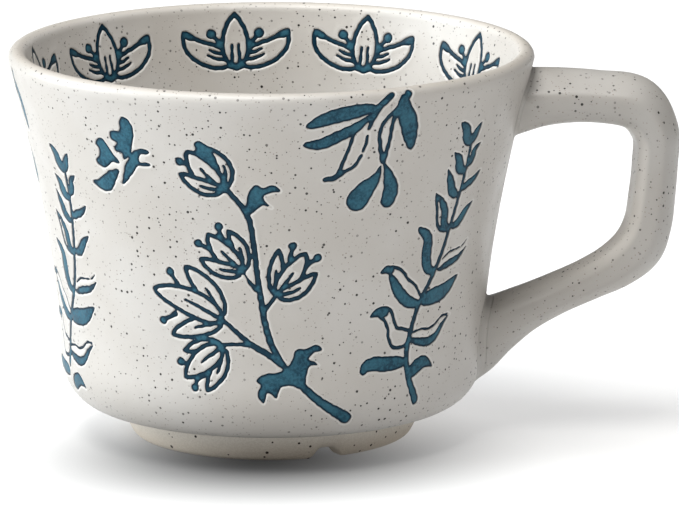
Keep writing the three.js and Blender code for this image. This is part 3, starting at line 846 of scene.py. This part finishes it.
FILLETS = {"upper": 0.9, "lower": 1.8}
FILLET_ROWS = 8
FILLET_DEPTH = 1.0  # how far its root lies under the wall, and in from the handle's surface
FILLET_INSET = 0.6
TUCK = 0.3  # share of the way to the root by which its edges turn under


def slip_fillet(name, lines, size, cad_node, material):
    """The slip smoothed into the corner between the handle and the wall, as a hollow curve between both."""
    contact, on_handle = joint_ring(lines, size)
    tangent = np.roll(contact, -1, 0) - np.roll(contact, 1, 0)
    angle = np.arctan2(contact[:, 0] - AXIS_X, -contact[:, 1])
    normal = np.stack([np.sin(angle), -np.cos(angle), np.zeros(len(angle))], -1)
    away = unit(np.cross(tangent, normal))
    away *= np.sign((away * (contact - contact.mean(0))).sum(1))[:, None]
    beside = contact + size * away
    turn = np.arctan2(beside[:, 0] - AXIS_X, -beside[:, 1])
    on_cup = on_wall(SHEET_RADIUS * turn, beside[:, 2], 0)
    curve = [(1 - t) ** 2 * on_handle + 2 * t * (1 - t) * contact + t ** 2 * on_cup
             for t in np.linspace(0, 1, FILLET_ROWS)]
    root = contact - FILLET_DEPTH * normal - FILLET_INSET * away
    tuck = TUCK * (root - contact)
    points = np.array([on_handle + tuck] + curve + [on_cup + tuck, root])
    faces = grid_faces(*points.shape[:2], closed_rows=True)
    new_piece(name, points, faces, [cad_node], material)


FOOT_SPACING = 0.45
FOOT_COLUMNS = 300


def foot_profile():
    """Radius and height round the foot ring's section, from its inner top edge, outside and back under."""
    corners = [(FOOT_INNER_RADIUS, BASE_Z), (FOOT_TOP_RADIUS - 0.3, BASE_Z),
               (FOOT_TOP_RADIUS, BASE_Z - 0.4), (FOOT_TOP_RADIUS - 0.5, BASE_Z * 0.62),
               (FOOT_TOP_RADIUS - 1.3, BASE_Z * 0.3),
               (FOOT_BOTTOM_RADIUS + 0.35, 0.55), (FOOT_BOTTOM_RADIUS - 0.35, 0.0),
               (FOOT_INNER_RADIUS + 0.7, 0.0), (FOOT_INNER_RADIUS, 0.6)]
    return respaced(np.array(corners + corners[:1]), FOOT_SPACING)[:-1]


def foot(material):
    """The bare foot ring, with rounded drain notches cut across its underside."""
    angle = np.linspace(0, math.tau, FOOT_COLUMNS, endpoint=False)
    notch = np.zeros(len(angle))
    for at in NOTCH_ANGLES:
        turn = (angle - math.radians(at) + math.pi) % math.tau - math.pi
        share = np.clip((np.abs(turn) * FOOT_BOTTOM_RADIUS - NOTCH_TOP_HALF_WIDTH) / NOTCH_SLOPE, 0, 1)
        notch = np.maximum(notch, NOTCH_DEPTH * (0.5 + 0.5 * np.cos(math.pi * share)))
    points = np.array([around(r, angle, notch + z * (1 - notch / BASE_Z)) for r, z in foot_profile()])
    faces = [tuple(reversed(face)) for face in grid_faces(*points.shape[:2], closed_rows=True)]
    new_piece("foot", points, faces, ["foot_ring"], material)


# ---- materials

class Shader:
    """A material being wired together: one principled shader and small helpers."""

    def __init__(self, name):
        self.material = bpy.data.materials.new(name)
        self.material.use_nodes = True
        self.tree = self.material.node_tree
        self.surface = self.tree.nodes["Principled BSDF"]
        self.place = self.node("TexCoord").outputs["Object"]

    def node(self, kind, inputs=None, **settings):
        made = self.tree.nodes.new("ShaderNode" + kind)
        for name, value in settings.items():
            setattr(made, name, value)
        for name, value in (inputs or {}).items():
            self.feed(made.inputs[name], value)
        return made

    def feed(self, socket, value):
        if isinstance(value, bpy.types.NodeSocket):
            self.tree.links.new(value, socket)
        else:
            socket.default_value = value

    def math(self, operation, *values):
        return self.node("Math", dict(enumerate(values)), operation=operation).outputs[0]

    def ramp(self, value, low, high, start=0.0, end=1.0):
        """value from low to high becomes start to end, smoothly, and stays there beyond them."""
        inputs = {"Value": value, "From Min": low, "From Max": high, "To Min": start, "To Max": end}
        return self.node("MapRange", inputs, interpolation_type="SMOOTHSTEP").outputs["Result"]

    def mix(self, share, first, second):
        made = self.node("Mix", data_type="RGBA")
        self.feed(made.inputs[0], share)
        self.feed(made.inputs[6], first)
        self.feed(made.inputs[7], second)
        return made.outputs[2]

    def noise(self, size, detail=3.0, roughness=0.5):
        """Noise with features of that size in millimetres."""
        inputs = {"Vector": self.place, "Scale": 1 / (size * MM), "Detail": detail, "Roughness": roughness}
        return self.node("TexNoise", inputs).outputs["Fac"]

    def specks(self, spacing, radius, share):
        """A mask of round specks, with their spacing and largest radius in millimetres."""
        inputs = {"Vector": self.place, "Scale": 1 / (spacing * MM)}
        cells = self.node("TexVoronoi", inputs)
        random = self.node("SeparateColor", {"Color": cells.outputs["Color"]})
        size = self.math("MULTIPLY", random.outputs[0], radius / spacing)
        used = self.math("LESS_THAN", random.outputs[1], share)
        size = self.math("MULTIPLY", size, used)
        near = self.math("SUBTRACT", size, cells.outputs["Distance"])
        return self.ramp(near, 0.0, 0.012)

    def vector(self, operation, *values, **more):
        return self.node("VectorMath", {**dict(enumerate(values)), **more}, operation=operation).outputs[0]

    def painted_bowl_light_mask(self):
        """A mask of the surfaces that face the cup's axis, where light is painted into the glaze."""
        normal = self.node("NewGeometry").outputs["Normal"]
        outward = self.vector("ADD", self.place, (-AXIS_X * MM, 0, 0))
        level = self.vector("MULTIPLY", outward, (1, 1, 0))
        inputs = {0: self.vector("NORMALIZE", level), 1: normal}
        facing = self.node("VectorMath", inputs, operation="DOT_PRODUCT").outputs["Value"]
        return self.ramp(facing, -0.6, -0.1, 1.0, 0.0)

    def bump(self, height, distance, strength, normal=None):
        inputs = {"Height": height, "Distance": distance * MM, "Strength": strength}
        if normal is not None:
            inputs["Normal"] = normal
        return self.node("Bump", inputs).outputs["Normal"]

    def finished(self, color, roughness, normal=None, more=()):
        """The material, with these and more named values on its surface."""
        values = {"Base Color": color, "Roughness": roughness, **dict(more)}
        if normal is not None:
            values["Normal"] = normal
        for name, value in values.items():
            self.feed(self.surface.inputs[name], value)
        return self.material


# Painted light and shade: the glaze colour is scaled up in the bowl to stand in for light, and down on the
# handle to stand in for shade.
BOWL_PAINTED_LIGHT = 1.18  # the glaze is lighter in the bowl than outside it, and darker on the handle
HANDLE_PAINTED_SHADE = 0.8
THINNING = (HEIGHT - 0.8, HEIGHT - 0.1)  # heights between which the glaze thins on the lip

THICK_GLAZE, CLOUDY_GLAZE = (0.445, 0.422, 0.392, 1), (0.480, 0.462, 0.438, 1)
THIN_GLAZE = (0.42, 0.365, 0.30, 1)
# white round the blue: partly thin glaze on the bed's lip, partly a painted highlight
WHITE_EDGE_AND_HIGHLIGHT = (0.72, 0.72, 0.71, 1)
IRON, FAINT_IRON, IRON_IN_CLAY = (0.012, 0.009, 0.007, 1), (0.16, 0.12, 0.095, 1), (0.04, 0.03, 0.025, 1)
DARK_SLIP, LIGHT_SLIP = (0.008, 0.040, 0.066, 1), (0.024, 0.098, 0.146, 1)
CLOUDY_SLIP = (0.042, 0.145, 0.200, 1)
# the darkest blue: slip pooled along the edges, with painted shade where the bed's walls lie
POOLED_SLIP_AND_SHADE = (0.002, 0.016, 0.034, 1)
LOW_CLAY, HIGH_CLAY, SAND = (0.60, 0.535, 0.45, 1), (0.67, 0.635, 0.57, 1), (0.36, 0.30, 0.24, 1)


def glaze_material(name, outer_painted_shade):
    """Warm white satin glaze with iron specks, thin on the lip. Light is painted into the bowl, the white
    edge along the blue is partly thin glaze and partly a painted highlight, and the blue's bed is darkest
    blue, partly as painted shade.
    """
    shader = Shader(name)
    edge = shader.node("Attribute", attribute_name="edge").outputs["Fac"]
    clouds = shader.ramp(shader.noise(22, 4), 0.35, 0.68)
    color = shader.mix(clouds, THICK_GLAZE, CLOUDY_GLAZE)
    # painted shade on the handle's copy of the glaze, and painted light in the bowl
    outer, inner = (shader.vector("SCALE", color, Scale=tone) for tone in (outer_painted_shade, BOWL_PAINTED_LIGHT))
    color = shader.mix(shader.painted_bowl_light_mask(), outer, inner)
    height = shader.node("SeparateXYZ", {"Vector": shader.place}).outputs["Z"]
    lip = shader.ramp(height, *(z * MM for z in THINNING), 0.0, 0.3)
    color = shader.mix(lip, color, THIN_GLAZE)
    faint = shader.specks(0.7, 0.17, 0.8)
    color = shader.mix(shader.math("MULTIPLY", faint, 0.62), color, FAINT_IRON)
    crowd = shader.ramp(shader.noise(14, 2), 0.4, 0.56, 0.45, 1.0)
    dark = shader.math("MULTIPLY", shader.specks(1.15, 0.31, 0.8), crowd)
    color = shader.mix(dark, color, IRON)
    # a white edge round the blue: partly thin glaze on the bed's lip, partly a painted highlight
    thin_lip_and_highlight = shader.ramp(shader.math("ABSOLUTE", shader.math("SUBTRACT", edge, 0.24)), 0.05, 0.26, 0.32, 0.0)
    color = shader.mix(thin_lip_and_highlight, color, WHITE_EDGE_AND_HIGHLIGHT)
    # the bed's walls under the blue's edge get the darkest blue: pooled slip and painted shade
    blue = shader.ramp(edge, -0.04, 0.05, 1.0, 0.0)
    color = shader.mix(blue, color, POOLED_SLIP_AND_SHADE)
    skin = shader.bump(shader.noise(2.4, 3), 0.05, 0.6)
    fine = shader.bump(shader.noise(0.5, 2), 0.012, 0.6, skin)
    roughness = shader.ramp(shader.noise(6, 3), 0.3, 0.7, 0.36, 0.46)
    return shader.finished(color, roughness, shader.bump(dark, -0.05, 0.8, fine))


def slip_material():
    """Deep teal slip under glaze with a streaky grain, darkest along its edges, where pooled slip and
    painted shade both darken it.
    """
    shader = Shader("blue_slip")
    edge = shader.node("Attribute", attribute_name="edge").outputs["Fac"]
    grain = shader.ramp(shader.noise(0.7, 3, 0.65), 0.36, 0.66)
    cloud = shader.ramp(shader.noise(5, 3), 0.35, 0.65)
    middle = shader.mix(grain, DARK_SLIP, LIGHT_SLIP)
    middle = shader.mix(shader.math("MULTIPLY", cloud, 0.45), middle, CLOUDY_SLIP)
    # darker towards the edge of the blue: pooled slip and painted shade
    pooled_and_shaded = shader.ramp(edge, -0.62, -0.2, 0.0, 0.9)
    color = shader.mix(pooled_and_shaded, middle, POOLED_SLIP_AND_SHADE)
    roughness = shader.ramp(grain, 0.0, 1.0, 0.34, 0.48)
    skin = shader.bump(shader.noise(0.6, 2), 0.05, 0.7)
    return shader.finished(color, roughness, skin, {"Specular IOR Level": 0.12})


def clay_material():
    """Unglazed warm clay, matt and sandy, with a few specks."""
    shader = Shader("bare_stoneware")
    height = shader.node("SeparateXYZ", {"Vector": shader.place}).outputs["Z"]
    wash = shader.ramp(height, 0.5 * MM, 6.0 * MM)
    color = shader.mix(wash, LOW_CLAY, HIGH_CLAY)
    sand = shader.ramp(shader.noise(0.35, 2, 0.7), 0.3, 0.7)
    color = shader.mix(shader.math("MULTIPLY", sand, 0.25), color, SAND)
    dark = shader.specks(1.8, 0.42, 0.8)
    color = shader.mix(dark, color, IRON_IN_CLAY)
    roughness = shader.ramp(sand, 0.0, 1.0, 0.72, 0.86)
    return shader.finished(color, roughness, shader.bump(shader.noise(0.4, 2, 0.6), 0.05, 0.6))


# ---- floor, lights and camera

# The floor's shadow under the mug is painted: a dark pool in its colour and its glow, placed and sized by
# these values.
SHADE_MIDDLE = (AXIS_X - 3.0, -28.8)  # the soft shadow lies forward of the foot
SHADE_SQUASH = 1.17  # how much wider than deep it is
SHADE_RADII = (0.0, 68.0)
SHADE_FLOOR = 0.07  # brightness left in the darkest part of the shadow


FLOOR_HALF = 4.0  # metres


def floor():
    """A glowing white table top, with a soft shadow painted under the mug in both its colour and its glow.
    """
    shader = Shader("studio_floor")
    flat = shader.vector("SUBTRACT", shader.place, (SHADE_MIDDLE[0] * MM, SHADE_MIDDLE[1] * MM, 0))
    spread = shader.vector("MULTIPLY", flat, (1, SHADE_SQUASH, 0))
    away = shader.node("VectorMath", {0: spread}, operation="LENGTH").outputs["Value"]
    # painted shadow: darkest at its middle, fading to plain white floor at the outer radius
    painted_shadow = shader.ramp(away, *(r * MM for r in SHADE_RADII), SHADE_FLOOR, 1.0)
    shadowed_gray = shader.mix(painted_shadow, (0.02, 0.02, 0.02, 1), (0.5, 0.5, 0.5, 1))
    shadowed_glow = shader.mix(painted_shadow, (0, 0, 0, 1), (1, 1, 1, 1))
    material = shader.finished(shadowed_gray, 0.9, more={
        "Emission Color": shadowed_glow, "Emission Strength": 0.5, "Specular IOR Level": 0.0})
    mesh = bpy.data.meshes.new("studio_floor")
    corners = [(x * FLOOR_HALF, y * FLOOR_HALF, 0) for x, y in ((-1, -1), (1, -1), (1, 1), (-1, 1))]
    mesh.from_pydata(corners, [], [(0, 1, 2, 3)])
    mesh.materials.append(material)
    plane = linked("studio_floor", mesh)


def area_light(name, at, size, energy, color, target=(0, 0, 0.04)):
    """A square lamp, in metres and watts, that faces the target."""
    lamp = bpy.data.lights.new(name, "AREA")
    lamp.size = size
    lamp.energy = energy
    lamp.color = color
    holder = linked(name, lamp)
    holder.location = at
    holder.rotation_euler = (Vector(target) - Vector(at)).to_track_quat("-Z", "Y").to_euler()


HORIZON = 0.06
ZENITH = 1.3
SKY_START = 0.6  # sine of the height at which the sky begins to brighten


def lights():
    """A soft sky, a wide cool window on the left, a lamp over the bowl, and two weak low lamps in front."""
    world = bpy.data.worlds.new("studio")
    bpy.context.scene.world = world
    world.use_nodes = True
    nodes, links = world.node_tree.nodes, world.node_tree.links
    direction = nodes.new("ShaderNodeTexCoord")
    parts = nodes.new("ShaderNodeSeparateXYZ")
    height = nodes.new("ShaderNodeMapRange")
    height.interpolation_type = "SMOOTHSTEP"
    for name, value in (("From Min", SKY_START), ("To Min", HORIZON), ("To Max", ZENITH)):
        height.inputs[name].default_value = value
    links.new(direction.outputs["Generated"], parts.inputs[0])
    links.new(parts.outputs["Z"], height.inputs["Value"])
    links.new(height.outputs["Result"], nodes["Background"].inputs["Strength"])
    nodes["Background"].inputs["Color"].default_value = (1, 1, 1, 1)
    area_light("left_window", (-1.4, 0.02, 0.6), 1.3, 34, (0.92, 0.97, 1.0))
    area_light("over_bowl", (-0.3, -0.4, 1.35), 0.8, 17, (1.0, 0.99, 0.96))
    area_light("right_fill", (0.9, -1.1, 0.15), 0.8, 1.8, (1.0, 0.93, 0.85))
    area_light("low_front", (-0.35, -1.2, 0.03), 0.3, 1.8, (1.0, 0.98, 0.95), (0, 0, 0.01))


CAMERA_DISTANCE = 1500.0
CAMERA_ELEVATION = math.radians(11.913)
CAMERA_AIM = (-0.95, 0.0, 36.95)
CAMERA_LENS = 378.54


def camera():
    """A long lens, a little above the mug, square on to its cup."""
    lens = bpy.data.cameras.new("camera")
    lens.sensor_width = 36
    lens.lens = CAMERA_LENS
    lens.clip_end = 20
    holder = linked("camera", lens)
    middle = Vector((AXIS_X, 0, HEIGHT / 2))
    back = Vector((0, -math.cos(CAMERA_ELEVATION), math.sin(CAMERA_ELEVATION)))
    at = middle + CAMERA_DISTANCE * back
    facing = (Vector(CAMERA_AIM) - at).normalized()
    right = facing.cross(Vector((0, 0, 1))).normalized()
    rotation = Matrix((right, right.cross(facing), -facing)).transposed()
    holder.matrix_world = Matrix.Translation(at * MM) @ rotation.to_4x4()
    bpy.context.scene.camera = holder


# ---- the mug

def build():
    # the handle and its slip joints get a darker copy of the glaze: painted shade
    glaze, painted_shade_handle_glaze = glaze_material("glaze", 1.0), glaze_material("painted_shade_handle_glaze", HANDLE_PAINTED_SHADE)
    slip, clay = slip_material(), clay_material()
    places = all_places()
    cup(places, glaze)
    surfaces = {}
    for place in places:
        if place.drawing not in surfaces:
            surfaces[place.drawing] = inlay_surface(place.drawing)
        inlay(place, surfaces[place.drawing], slip)
    handle(painted_shade_handle_glaze)
    lines = handle_lines()
    half = len(lines) // 2
    for end, rows in (("upper", lines[:half]), ("lower", lines[half:][::-1])):
        slip_fillet(f"{end}_slip", rows, FILLETS[end], f"handle_{end}_slip", painted_shade_handle_glaze)
    foot(clay)


build()
floor()
lights()
camera()
bpy.context.scene.view_settings.view_transform = "Standard"
